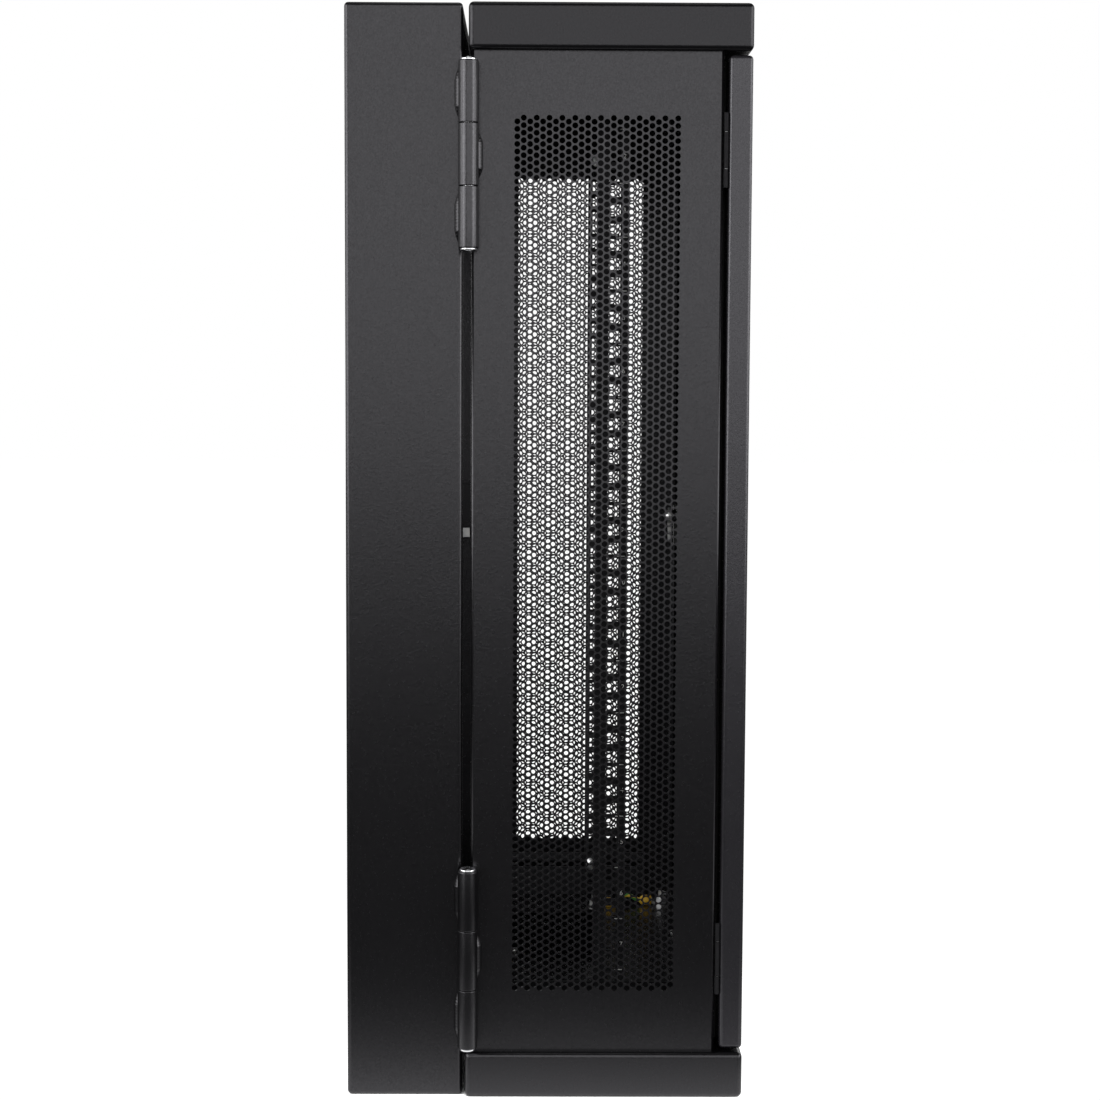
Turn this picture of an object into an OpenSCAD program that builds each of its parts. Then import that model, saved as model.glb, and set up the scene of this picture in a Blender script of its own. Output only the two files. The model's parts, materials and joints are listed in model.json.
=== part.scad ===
// A wall-mounted network rack cabinet whose body swings out on a frame that stays on the wall.
// The front faces -Y, +X is to the right seen from the front, and the base rests on z = 0.

/* [Rack] */
// Height of the equipment space, in rack units
rack_units = 18; // [12:1:24]
// Height of one rack unit
rack_unit = 44.45; // [44.45:0.01:44.45]
// Clear width between the mounting rails
rail_opening = 450; // [450:1:452]
// How far the rails stand behind the front of the door
rail_setback = 97.2; // [80:0.1:130]
// Depth of the left rail, whose web is wider than the right one's
left_rail_depth = 26.8; // [24:0.1:30]
// Depth of the right rail
right_rail_depth = 21.5; // [20:0.1:30]

/* [Body] */
// Width across the side panels
body_w = 587; // [580:1:620]
// Depth from the wall to the front of the door
depth = 330; // [320:1:400]
// Depth of the frame that stays on the wall
wall_depth = 95.8; // [90:0.1:110]
// Height of the top cap and of the bottom cap
cap_h = 38; // [34:1:46]
// How far the caps stand out past the side panels
cap_proud = 6.5; // [4:0.5:7]
// Thickness of the door
door_t = 19.3; // [19:0.1:22]
// Thickness of the frame and cap sheets
sheet = 1.5; // [1.2:0.1:1.6]
// Thickness of the side panels
panel_sheet = 1.2; // [1:0.1:1.5]

/* [Perforation] */
// Hole spacing of the side panels, twice the spacing of the 6 mm sheet that it stands for
vent_pitch = 12; // [12:1:16]
// Hole diameter of the side panels
vent_d = 9; // [7:0.5:9.5]
// Hole spacing of the door, five times that of the 8 mm sheet that it stands for
mesh_pitch = 40; // [32:1:48]
// Width of the web between two holes of the door
mesh_web = 9; // [6:0.5:12]

/* [Swing hinges] */
// Outer diameter of a hinge barrel
barrel_d = 16.4; // [14:0.2:17]
// Length of one knuckle, of which a hinge has three
knuckle = 50; // [30:1:60]
// Diameter of a hinge pin
pin_d = 9.9; // [8:0.1:10]
// Height of the lowest hinge knuckle above the base
hinge_low = 43; // [42:1:80]

/* [Locks] */
// Diameter of the turning plug of a cam lock
plug_d = 13; // [11:0.5:14]
// Reach of a lock's cam from its axis
cam_reach = 26; // [24:1:27]

/* [Hidden] */
$fn = 48;
over = 1;                 // how far a cutting shape runs past the face it cuts

// Overall planes
height = rack_units * rack_unit + 99.9;
mid_z = height / 2;
side_x = body_w / 2;
cap_x = side_x + cap_proud;
rear_y = depth / 2;
front_y = -depth / 2;
wall_front_y = rear_y - wall_depth;
cap_rear_y = wall_front_y - 4.7;
bottom_cap_rear_y = cap_rear_y + 2.3;
panel_rear_y = cap_rear_y - 2.2;
door_rear_y = front_y + door_t;
panel_front_y = door_rear_y + 4;
cap_top = height - cap_h;

// Sheet metal
bend_r = 3;
cap_r = 4;
flange = 15;
wall_in_y = wall_front_y + sheet;
inside_x = side_x - panel_sheet;

// Wall frame openings, and its fixing holes: 16 inches apart across, and 30 upright at 18 units
back_x = side_x - 8.5;
wall_plate_h = 128.5;
wall_hole_r = 5.5;
wall_hole_x = 406.4;
wall_hole_z = 762 + rack_unit * (rack_units - 18);
wall_entry = [300, 46];
wall_entry_y = (wall_in_y + rear_y - sheet) / 2;
cover_edge = 12;

// Caps
floor_window = [[-180, -60], [180, 36]];
cap_entry = [[-140, 10], [140, 50]];
vent_slot = [4, 62];
vent_slots = 16;
vent_slot_step = 12;

// Front and rear frames of the cabinet
frame_t = 2;
front_frame_y = panel_front_y + panel_sheet;
front_window = [[-236.5, 47], [236.5, height - 47]];
rear_frame_y = panel_rear_y - panel_sheet - frame_t;
rear_window = [[-240, 50], [240, height - 50]];
frame_flange = 20;
cap_screw_x = [-240, -80, 80, 240];
cap_screw_y = [front_frame_y + frame_t + 6, rear_frame_y - 12];

// Rack rails: three square holes a unit, at these heights above the unit's lower line
rail_z = 49.3;
rail_holes = [6.35, 22.225, 38.1];
rail_hole = 9.5;
rail_hole_x = 465.1 / 2;
rail_in_x = rail_opening / 2;
rail_t = 2;
rail_web_x = rail_in_x + 18.5;
rail_out_x = rail_web_x + rail_t;
rail_y = front_y + rail_setback;
rail_end = 4.3;
rail_low = rail_z - rail_end;
rail_high = rail_z + rack_units * rack_unit + rail_end;
rail_hole_y = rail_y + 11.9;

// Brackets that carry the rails
bracket_x = rail_out_x + 0.2;
bracket_t = 2;
bracket_y = [-112, 36];
bracket_h = 46;
bracket_slot = [[-105, 30], 6.6];
bolt_z = [rail_z + rail_holes[1], rail_z + (rack_units - 1) * rack_unit + rail_holes[1]];

// Swing hinges
barrel_r = barrel_d / 2;
hinge_x = -side_x - barrel_r;
hinge_y = cap_rear_y - 0.1;
hinge_len = 3 * knuckle;
hinge_high = height - hinge_low - hinge_len - 4;
knuckle_gap = 0.2;
bore_r = pin_d / 2 + 0.05;
pin_head_r = 5.6;
pin_head_h = 3.2;

// Cam locks: outer face at z = 0 in their own frame, with the cam at the inner end
lock_face_r = 13;
lock_face_t = 3;
lock_barrel_r = 9.4;
lock_barrel_end = 22;
lock_end = 31;
cam_t = 3;
cam_w = 10;
cam_hub_r = 9;
nut_r = 13;
nut_t = 4;
door_lock = [250, front_y, mid_z];
swing_lock = [side_x + lock_face_t, 105, mid_z - 20];
keeper_x = 272;

// Door
door_x = 295;
door_low = 40.4;
door_high = height - 40.9;
door_window = [[-226, 95], [226, height - 95]];
door_flange = 35;
gasket_in = 26;
gasket_w = 6;
gasket_t = 4.6;
mesh_t = 1.2;
mesh_y = front_y + sheet;

// Door hinges, in the gap between the door and the body
leaf_axis = [-side_x + 0.3, (door_rear_y + panel_front_y) / 2];
leaf_r = 1.8;
leaf_pin_r = 1;
leaf_len = 60;
leaf_end = 15;
leaf_w = 18;
leaf_t = 0.9;
leaf_z = [mid_z - 333.3 - 22 * (rack_units - 18), mid_z + 333.4 + 22 * (rack_units - 18)];

// Ground bond
stud_r = 3;
stud_h = 13;
stud_places = [[200, -127, cap_h + frame_t], [196, -56, cap_h]];
lead_d = 4.6;
lead_sides = 8;
lead_route = [
    [200, -109, 43], [200, -105, 43], [199.8, -101, 44.2], [199.3, -97, 46.4], [198.6, -93, 48.4],
    [197.8, -89, 48.8], [197, -85, 47.2], [196.3, -81.5, 44.2], [196, -78.5, 41.8], [196, -76, 41],
    [196, -74, 41]
];

powder = [0.13, 0.13, 0.14];
steel = [0.72, 0.72, 0.74];
chrome = [0.86, 0.86, 0.88];
rubber = [0.07, 0.07, 0.07];
bond_green = [0.55, 0.6, 0.1];

// A box between two corners
module block(low, high) {
    translate(low) cube(high - low);
}

// Draws its children and their mirror image in the X = 0 plane
module both_sides() {
    children();
    mirror([1, 0, 0]) children();
}

// A sheet in the XZ plane, from y to y + t
module sheet_xz(y, t) {
    translate([0, y + t, 0]) rotate([90, 0, 0]) linear_extrude(t) children();
}

// A sheet in the YZ plane, from x to x + t
module sheet_yz(x, t) {
    translate([x, 0, 0]) rotate([90, 0, 90]) linear_extrude(t) children();
}

// A rectangle between two corners
module rect(low, high) {
    translate(low) square(high - low);
}

function arc(centre, r, start) =
    [for (i = [0:6]) centre + r * [cos(start + 15 * i), sin(start + 15 * i)]];

// A rectangle between two corners, with round corners
module round_rect(low, high, r) {
    polygon(concat(
        arc([high[0] - r, high[1] - r], r, 0),
        arc([low[0] + r, high[1] - r], r, 90),
        arc([low[0] + r, low[1] + r], r, 180),
        arc([high[0] - r, low[1] + r], r, 270)
    ));
}

// A pan-head screw: the head's underside is at z = 0 and the shank runs down
module screw(head_r, head_h, shank_r, shank) {
    difference() {
        cylinder(h = head_h, r1 = head_r, r2 = head_r * 0.8);
        translate([0, 0, head_h * 0.4]) cylinder(h = head_h, r = head_r * 0.35, $fn = 6);
    }
    translate([0, 0, -shank]) cylinder(h = shank, r = shank_r);
}

// Plan of the wall frame, shrunk by an amount on every side
module wall_plan(inset) {
    round_rect([-side_x + inset, wall_front_y + inset], [side_x - inset, rear_y - inset], bend_r - inset);
}

// Open box with a lip all round its front, and a narrow lip down each side of its back
module wall_frame() {
    color(powder) difference() {
        union() {
            linear_extrude(height) difference() {
                wall_plan(0);
                wall_plan(sheet);
                rect([-side_x + flange, wall_front_y - over], [side_x - flange, wall_in_y + over]);
                rect([-back_x, rear_y - sheet - over], [back_x, rear_y + over]);
            }
            for (z = [0, height - sheet]) translate([0, 0, z]) linear_extrude(sheet) wall_plan(0);
            for (z = [sheet / 2, height - flange]) {
                block([-side_x + flange - over, wall_front_y, z],
                      [side_x - flange + over, wall_in_y, z + flange - sheet / 2]);
            }
        }
        for (z = [-over, height - sheet - over]) {
            block([-wall_entry[0] / 2, wall_entry_y - wall_entry[1] / 2, z],
                  [wall_entry[0] / 2, wall_entry_y + wall_entry[1] / 2, z + sheet + 2 * over]);
        }
        translate([side_x + over, swing_lock[1], swing_lock[2]]) rotate([0, -90, 0])
            cylinder(h = sheet + 2 * over, r = lock_barrel_r + 0.1);
    }
}

// Plate across the wall frame's back, between its lips, with two of the four fixing holes
module wall_plate(z, hole_z) {
    color(powder) sheet_xz(rear_y - sheet, sheet) difference() {
        rect([-back_x, z], [back_x, z + wall_plate_h]);
        for (x = [-1, 1]) translate([x * wall_hole_x / 2, hole_z]) circle(r = wall_hole_r);
    }
}

module lower_wall_plate() { wall_plate(sheet, mid_z - wall_hole_z / 2); }
module upper_wall_plate() { wall_plate(height - sheet - wall_plate_h, mid_z + wall_hole_z / 2); }

// Plate that closes the cable entry of the wall frame from inside
module wall_cover(z) {
    color(powder) translate([0, 0, z]) linear_extrude(sheet) difference() {
        round_rect([-wall_entry[0] / 2 - cover_edge, wall_entry_y - wall_entry[1] / 2 - cover_edge],
                   [wall_entry[0] / 2 + cover_edge, wall_entry_y + wall_entry[1] / 2 + cover_edge], 4);
        for (x = [-1, 1]) translate([x * (wall_entry[0] / 2 + cover_edge / 2), wall_entry_y])
            circle(r = 2.1);
    }
}

module wall_top_cover() { wall_cover(height - 2 * sheet); }
module wall_bottom_cover() { wall_cover(sheet); }

module wall_cover_screws() {
    color(steel) for (x = [-1, 1]) translate([x * (wall_entry[0] / 2 + cover_edge / 2), wall_entry_y, 0]) {
        translate([0, 0, 2 * sheet]) screw(4, 2, 2, sheet);
        translate([0, 0, height - 2 * sheet]) mirror([0, 0, 1]) screw(4, 2, 2, sheet);
    }
}

// One knuckle of a swing hinge, its low end at z
module swing_knuckle(z, length) {
    color(powder) translate([hinge_x, hinge_y, z]) difference() {
        cylinder(h = length, r = barrel_r);
        translate([0, 0, -over]) cylinder(h = length + 2 * over, r = bore_r);
    }
}

module outer_knuckles(z) {
    swing_knuckle(z, knuckle - knuckle_gap / 2);
    swing_knuckle(z + 2 * knuckle + knuckle_gap / 2, knuckle - knuckle_gap / 2);
}

module middle_knuckle(z) { swing_knuckle(z + knuckle + knuckle_gap / 2, knuckle - knuckle_gap); }

module upper_outer_knuckles() { outer_knuckles(hinge_high); }
module lower_outer_knuckles() { outer_knuckles(hinge_low); }
module upper_middle_knuckle() { middle_knuckle(hinge_high); }
module lower_middle_knuckle() { middle_knuckle(hinge_low); }

// Half outline of a pin's domed head, standing on z = 0
module dome() {
    intersection() {
        square([pin_head_r, pin_head_h]);
        translate([0, pin_head_h - pin_head_r * 1.4]) circle(r = pin_head_r * 1.4);
    }
}

// Swing hinge pin: a plain shaft with a domed head at each end
module hinge_pin(z) {
    color(chrome) translate([hinge_x, hinge_y, z]) {
        cylinder(h = hinge_len, r = pin_d / 2);
        translate([0, 0, hinge_len]) rotate_extrude() dome();
        mirror([0, 0, 1]) rotate_extrude() dome();
    }
}

module upper_hinge_pin() { hinge_pin(hinge_high); }
module lower_hinge_pin() { hinge_pin(hinge_low); }

// Fillet weld between a knuckle and a side face: side = 1 on the wall frame, -1 on the cabinet
module hinge_weld(z, length, root_y, side) {
    color(powder) difference() {
        translate([0, 0, z]) linear_extrude(length) polygon([
            [-side_x, root_y], [-side_x, hinge_y + side * 11.8], [-side_x - 6.1, hinge_y + side * 8]
        ]);
        translate([hinge_x, hinge_y, z - over]) cylinder(h = length + 2 * over, r = barrel_r + 0.02);
    }
}

module wall_hinge_welds() {
    for (z = [hinge_low, hinge_high], step = [0, 2 * knuckle]) {
        hinge_weld(z + step + 2, knuckle - 4, wall_front_y, 1);
    }
}

module cabinet_hinge_welds() {
    for (z = [hinge_low, hinge_high]) hinge_weld(z + knuckle + 2, knuckle - 4, panel_rear_y, -1);
}

module swing_bumpers() {
    bumper_r = 5;
    color(rubber) for (z = [120, height - 120]) {
        translate([side_x - 8, wall_front_y, z]) rotate([90, 0, 0]) cylinder(h = 6.2, r = bumper_r);
    }
}

// Cam lock, in its own frame: the face looks along +Z and the plug turns on the Z axis
module lock_body() {
    color(chrome) difference() {
        union() {
            translate([0, 0, -lock_face_t]) cylinder(h = lock_face_t, r = lock_face_r);
            translate([0, 0, -lock_barrel_end])
                cylinder(h = lock_barrel_end - lock_face_t + 0.5, r = lock_barrel_r);
        }
        translate([0, 0, -lock_barrel_end - over])
            cylinder(h = lock_barrel_end + 2 * over, r = plug_d / 2 + 0.05);
    }
}

module lock_nut() {
    color(steel) translate([0, 0, -lock_face_t - sheet - nut_t]) difference() {
        cylinder(h = nut_t, r = nut_r, $fn = 6);
        translate([0, 0, -over]) cylinder(h = nut_t + 2 * over, r = lock_barrel_r + 0.02);
    }
}

module lock_plug() {
    color(chrome) difference() {
        translate([0, 0, -lock_end + cam_t]) cylinder(h = lock_end - cam_t - 0.3, r = plug_d / 2);
        block([-0.8, -4, -3], [0.8, 4, over]);
        translate([0, 0, -lock_end]) cylinder(h = lock_end / 3, r = 2.02);
    }
}

// The cam points along +X
module lock_cam() {
    color(steel) translate([0, 0, -lock_end]) linear_extrude(cam_t) difference() {
        union() {
            circle(r = cam_hub_r);
            translate([0, -cam_w / 2]) square([cam_reach, cam_w]);
        }
        circle(r = 2.1);
    }
}

module lock_screw() {
    color(steel) translate([0, 0, -lock_end]) mirror([0, 0, 1]) screw(4.5, 2.4, 2, 9);
}

module at_swing_lock() { translate(swing_lock) rotate([0, 90, 0]) children(); }

module swing_lock_body() { at_swing_lock() lock_body(); }
module swing_lock_nut() { at_swing_lock() lock_nut(); }
module swing_lock_plug() { at_swing_lock() lock_plug(); }
module swing_lock_cam() { at_swing_lock() rotate([0, 0, -90]) lock_cam(); }
module swing_lock_screw() { at_swing_lock() lock_screw(); }

// Plan of a cap that ends at a rear plane, shrunk by an amount on every side
module cap_plan(cap_rear, inset) {
    round_rect([-cap_x + inset, front_y + inset], [cap_x - inset, cap_rear - inset], cap_r - inset);
}

// A cap in its bottom position: an outer sheet, a skirt and an inner floor. The outer sheet has
// this many cooling slots on each side
module cap(cap_rear, slots) {
    color(powder) {
        linear_extrude(cap_h) difference() {
            cap_plan(cap_rear, 0);
            cap_plan(cap_rear, sheet);
        }
        linear_extrude(sheet) difference() {
            cap_plan(cap_rear, 0);
            rect(cap_entry[0], cap_entry[1]);
            for (side = [-1, 1], i = [0:1:slots - 1]) {
                x = side * (40 + i * vent_slot_step);
                rect([x - vent_slot[0] / 2, -115], [x + vent_slot[0] / 2, -115 + vent_slot[1]]);
            }
        }
        translate([0, 0, cap_h - sheet]) linear_extrude(sheet) difference() {
            cap_plan(cap_rear, 0);
            rect(floor_window[0], floor_window[1]);
            cap_screw_holes();
        }
    }
}

// The bottom cap stands a little closer to the wall frame than the top cap
module bottom_cap() { cap(bottom_cap_rear_y, 0); }
module top_cap() { translate([0, 0, height]) mirror([0, 0, 1]) cap(cap_rear_y, vent_slots); }

// Plate that closes the cable entry of a cap, on the inner side of the sheet
module cable_cover() {
    color(powder) translate([0, 0, sheet]) linear_extrude(sheet) difference() {
        rect(cap_entry[0] - [cover_edge, 8], cap_entry[1] + [cover_edge, 8]);
        for (x = [-1, 1]) translate([x * (cap_entry[1][0] + cover_edge / 2), 30]) circle(r = 2.1);
    }
}

module bottom_cable_cover() { cable_cover(); }
module top_cable_cover() { translate([0, 0, height]) mirror([0, 0, 1]) cable_cover(); }

module cable_cover_screws() {
    color(steel) for (x = [-1, 1]) translate([x * (cap_entry[1][0] + cover_edge / 2), 30, 0]) {
        translate([0, 0, 2 * sheet]) screw(4, 2, 2, sheet);
        translate([0, 0, height - 2 * sheet]) mirror([0, 0, 1]) screw(4, 2, 2, sheet);
    }
}

// Left side panel: a perforated web with a flange folded inwards at the front and at the rear
module side_panel() {
    rows = floor((height - 180) / vent_pitch);
    columns = 13;
    column_step = vent_pitch * sqrt(3) / 2;
    field_y = -39.7 - (columns - 1) / 2 * column_step;
    field_z = mid_z - (rows - 0.5) / 2 * vent_pitch;
    color(powder) {
        sheet_yz(-side_x, panel_sheet) difference() {
            rect([panel_front_y, cap_h], [panel_rear_y, cap_top]);
            for (i = [0:columns - 1], j = [0:rows - 1]) {
                translate([field_y + i * column_step, field_z + (j + (i % 2) / 2) * vent_pitch])
                    circle(d = vent_d, $fn = 16);
            }
        }
        for (y = [panel_front_y, panel_rear_y - panel_sheet]) {
            block([-inside_x, y, cap_h], [-side_x + flange + panel_sheet, y + panel_sheet, cap_top]);
        }
    }
}

module left_side_panel() { side_panel(); }
module right_side_panel() { mirror([1, 0, 0]) side_panel(); }

// Holes for the screws that hold the caps to the two frames, in plan
module cap_screw_holes() {
    for (x = cap_screw_x, y = cap_screw_y) translate([x, y]) circle(r = 2.1);
}

// Flanges of a frame between two planes, which lie on the bottom cap and under the top cap
module frame_flanges(y_low, y_high) {
    for (z = [cap_h, cap_top - frame_t]) translate([0, 0, z]) linear_extrude(frame_t) difference() {
        rect([-inside_x, y_low], [inside_x, y_high]);
        cap_screw_holes();
    }
}

module front_frame() {
    notch_z = [door_lock[2] - 31, door_lock[2] + 12];
    color(powder) {
        sheet_xz(front_frame_y, frame_t) difference() {
            rect([-inside_x, cap_h], [inside_x, cap_top]);
            rect(front_window[0], front_window[1]);
            rect([front_window[1][0] - over, notch_z[0]], [door_lock[0] + 12, notch_z[1]]);
        }
        frame_flanges(front_frame_y, front_frame_y + frame_t + frame_flange);
    }
}

module rear_frame() {
    color(powder) {
        sheet_xz(rear_frame_y, frame_t) difference() {
            rect([-inside_x, cap_h], [inside_x, cap_top]);
            rect(rear_window[0], rear_window[1]);
        }
        frame_flanges(rear_frame_y - frame_flange, rear_frame_y + frame_t);
    }
}

// Screws that hold the caps to the two frames
module cap_screws() {
    color(steel) for (x = cap_screw_x, y = cap_screw_y) {
        translate([x, y, cap_h + frame_t]) screw(4, 2, 2, frame_t + sheet);
        translate([x, y, cap_top - frame_t]) mirror([0, 0, 1]) screw(4, 2, 2, frame_t + sheet);
    }
}

// Hooked plate on the cabinet's rear frame that the swing lock's cam catches
module swing_keeper() {
    low_z = swing_lock[2] + 12;
    high_z = low_z + 40;
    hook_y = swing_lock[1] + cam_w / 2 + 1;
    color(powder) {
        block([keeper_x - 22, rear_frame_y + frame_t, low_z], [keeper_x + 2, rear_frame_y + frame_t + 2, high_z]);
        block([keeper_x, rear_frame_y + frame_t + 1, low_z], [keeper_x + 2, hook_y + 2, high_z]);
        block([keeper_x - 12, hook_y, low_z], [keeper_x + 1, hook_y + 2, high_z]);
    }
}

// Lower right bracket: an upright plate with a slot at the bolt's height, on a foot
module rail_bracket(slot_z) {
    slot_r = bracket_slot[1] / 2;
    color(powder) {
        sheet_yz(bracket_x, bracket_t) difference() {
            rect([bracket_y[0], cap_h], [bracket_y[1], cap_h + bracket_h]);
            rect([bracket_slot[0][0], slot_z - slot_r], [bracket_slot[0][1], slot_z + slot_r]);
            for (y = bracket_slot[0]) translate([y, slot_z]) circle(r = slot_r);
        }
        block([bracket_x + bracket_t, bracket_y[0], cap_h], [inside_x, bracket_y[1], cap_h + frame_t]);
    }
}

module right_rail_brackets() {
    rail_bracket(bolt_z[0]);
    translate([0, 0, height]) mirror([0, 0, 1]) rail_bracket(height - bolt_z[1]);
}

module left_rail_brackets() { mirror([1, 0, 0]) right_rail_brackets(); }

// Centres of the square holes of one rail leg, at a place across the leg
function rail_centres(across) =
    [for (u = [0:rack_units - 1], h = rail_holes) [across, rail_z + u * rack_unit + h]];

// Right rail of a given depth
module rail(rail_depth) {
    color(powder) {
        sheet_xz(rail_y, rail_t) difference() {
            rect([rail_in_x, rail_low], [rail_out_x, rail_high]);
            for (c = rail_centres(rail_hole_x)) translate(c) square(rail_hole, center = true);
        }
        sheet_yz(rail_web_x, rail_t) difference() {
            rect([rail_y + rail_t, rail_low], [rail_y + rail_depth, rail_high]);
            for (c = rail_centres(rail_hole_y)) translate(c) square(rail_hole, center = true);
        }
    }
}

// Carriage bolts through the rail's web and the brackets' slots
module rail_bolts() {
    neck = rail_hole - 0.3;
    color(steel) for (z = bolt_z) translate([rail_web_x, rail_hole_y, z]) rotate([0, 90, 0]) {
        translate([0, 0, -3]) cylinder(h = 3, r1 = 5, r2 = 8);
        translate([-neck / 2, -neck / 2, 0]) cube([neck, neck, rail_t]);
        translate([0, 0, rail_t]) cylinder(h = 10, r = stud_r);
    }
}

module rail_nuts() {
    color(steel) for (z = bolt_z) {
        translate([bracket_x + bracket_t + 0.2, rail_hole_y, z]) rotate([0, 90, 0]) hex_nut();
    }
}

// An M6 nut standing on z = 0
module hex_nut() {
    difference() {
        cylinder(h = 5, r = 5.8, $fn = 6);
        translate([0, 0, -over]) cylinder(h = 5 + 2 * over, r = stud_r + 0.02);
    }
}

module right_rail() { rail(right_rail_depth); }
module right_rail_bolts() { rail_bolts(); }
module right_rail_nuts() { rail_nuts(); }
module left_rail() { mirror([1, 0, 0]) rail(left_rail_depth); }
module left_rail_bolts() { mirror([1, 0, 0]) rail_bolts(); }
module left_rail_nuts() { mirror([1, 0, 0]) rail_nuts(); }

module ground_studs() {
    color(steel) for (p = stud_places) translate(p) cylinder(h = stud_h, r = stud_r);
}

module ground_nuts() {
    color(steel) for (p = stud_places) translate(p + [0, 0, 1.2]) hex_nut();
}

// Ring lugs: each has a ring under its nut and a crimped barrel that holds the lead
module ground_lugs() {
    color(steel) for (i = [0, 1]) translate(stud_places[i]) rotate([0, 0, i * 180]) {
        difference() {
            union() {
                cylinder(h = 1.2, r = 6);
                block([-3, 0, 0], [3, 10, 1.2]);
                translate([0, 9.5, 3]) rotate([-90, 0, 0]) cylinder(h = 8.5, r = 3.4);
            }
            translate([0, 0, -over]) cylinder(h = 4, r = stud_r + 0.02);
            block([-5, 5, -1], [5, 20, 0]);
        }
    }
}

function unit(v) = v / norm(v);
function lead_dir(i) =
    unit(lead_route[min(i + 1, len(lead_route) - 1)] - lead_route[max(i - 1, 0)]);

// One ring of the lead round point i, square to its path
function lead_ring(i) = let (
    along = lead_dir(i),
    side = unit(cross(along, [0, 0, 1])),
    up = cross(side, along)
) [for (k = [0:lead_sides - 1]) lead_route[i]
    + lead_d / 2 * (cos(360 * k / lead_sides) * side + sin(360 * k / lead_sides) * up)];

module ground_lead() {
    rings = len(lead_route);
    n = lead_sides;
    color(bond_green) polyhedron(
        points = [for (i = [0:rings - 1]) each lead_ring(i)],
        faces = concat(
            [[for (k = [0:n - 1]) k]],
            [[for (k = [n - 1:-1:0]) (rings - 1) * n + k]],
            [for (i = [0:rings - 2], k = [0:n - 1])
                [i * n + k, (i + 1) * n + k, (i + 1) * n + (k + 1) % n, i * n + (k + 1) % n]]
        )
    );
}

// One leaf of a door hinge with its knuckles. The plate lies from y to y + leaf_t
module hinge_leaf(z, y, spans) {
    color(powder) difference() {
        union() {
            block([leaf_axis[0] + leaf_r + 0.4, y, z - leaf_len / 2],
                  [leaf_axis[0] + leaf_w, y + leaf_t, z + leaf_len / 2]);
            for (s = spans) {
                block([leaf_axis[0], y, z + s[0]], [leaf_axis[0] + leaf_r + 1, y + leaf_t, z + s[1]]);
                translate([leaf_axis[0], leaf_axis[1], z + s[0]]) cylinder(h = s[1] - s[0], r = leaf_r);
            }
        }
        translate([leaf_axis[0], leaf_axis[1], z - leaf_len]) cylinder(h = 2 * leaf_len, r = leaf_pin_r + 0.05);
    }
}

module frame_leaf(z) {
    hinge_leaf(z, panel_front_y - leaf_t,
               [[-leaf_len / 2, leaf_end - leaf_len / 2], [leaf_len / 2 - leaf_end, leaf_len / 2]]);
}

module door_leaf(z) {
    reach = leaf_len / 2 - leaf_end - 0.3;
    hinge_leaf(z, door_rear_y, [[-reach, reach]]);
}

module lower_hinge_frame_leaf() { frame_leaf(leaf_z[0]); }
module upper_hinge_frame_leaf() { frame_leaf(leaf_z[1]); }
module lower_hinge_door_leaf() { door_leaf(leaf_z[0]); }
module upper_hinge_door_leaf() { door_leaf(leaf_z[1]); }

module door_hinge_pins() {
    color(steel) for (z = leaf_z) translate([leaf_axis[0], leaf_axis[1], z - leaf_len / 2])
        cylinder(h = leaf_len, r = leaf_pin_r);
}

// Outline of the door, shrunk by an amount on every side
module door_plan(inset) {
    rect([-door_x + inset, door_low + inset], [door_x - inset, door_high - inset]);
}

module door_frame() {
    color(powder) {
        sheet_xz(front_y, sheet) difference() {
            door_plan(0);
            rect(door_window[0], door_window[1]);
            translate([door_lock[0], door_lock[2]]) circle(r = lock_face_r + 0.1);
        }
        sheet_xz(front_y + sheet, door_t - 2 * sheet) difference() {
            door_plan(0);
            door_plan(sheet);
        }
        sheet_xz(door_rear_y - sheet, sheet) difference() {
            door_plan(0);
            door_plan(door_flange);
        }
    }
}

module door_mesh() {
    cell = mesh_pitch - mesh_web;
    across = mesh_pitch * sqrt(3) / 2;
    columns = floor((door_window[1][0] - 14) / across);
    rows = floor((door_window[1][1] - door_window[0][1] - 30) / mesh_pitch / 2);
    color(powder) sheet_xz(mesh_y, mesh_t) difference() {
        rect(door_window[0] - [8, 8], door_window[1] + [8, 8]);
        for (i = [-columns:columns], j = [-rows:rows - abs(i) % 2]) {
            translate([i * across, mid_z + (j + (abs(i) % 2) / 2) * mesh_pitch])
                circle(r = cell / sqrt(3), $fn = 6);
        }
    }
}

module door_stiffeners() {
    low = door_window[0][1] - 8;
    high = door_window[1][1] + 8;
    back = mesh_y + mesh_t;
    color(powder) both_sides() {
        block([door_window[1][0], back, low], [door_window[1][0] + 8, back + sheet, high]);
        block([door_window[1][0], back + sheet / 2, low], [door_window[1][0] + sheet, back + 13, high]);
    }
}

// Seal on the door's back that rests on the front frame all round its window
module door_gasket() {
    inner_x = door_x - gasket_in - gasket_w;
    color(rubber) sheet_xz(door_rear_y, gasket_t) difference() {
        rect([-inner_x - gasket_w, door_low + 1.2], [inner_x + gasket_w, door_high - 1.2]);
        rect([-inner_x, front_window[0][1] - 0.4], [inner_x, front_window[1][1] + 0.4]);
    }
}

module at_door_lock() { translate(door_lock) rotate([90, 0, 0]) children(); }

// Plate behind the door's skin that seats the lock flush with the front
module door_lock_bracket() {
    half_w = 15;
    half_h = 24;
    color(steel) difference() {
        block([door_lock[0] - half_w, mesh_y, door_lock[2] - half_h],
              [door_lock[0] + half_w, front_y + lock_face_t + sheet, door_lock[2] + half_h]);
        at_door_lock() translate([0, 0, -lock_face_t]) cylinder(h = 10, r = lock_face_r + 0.1);
        at_door_lock() translate([0, 0, -20]) cylinder(h = 20, r = lock_barrel_r + 0.1);
    }
}

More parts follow.
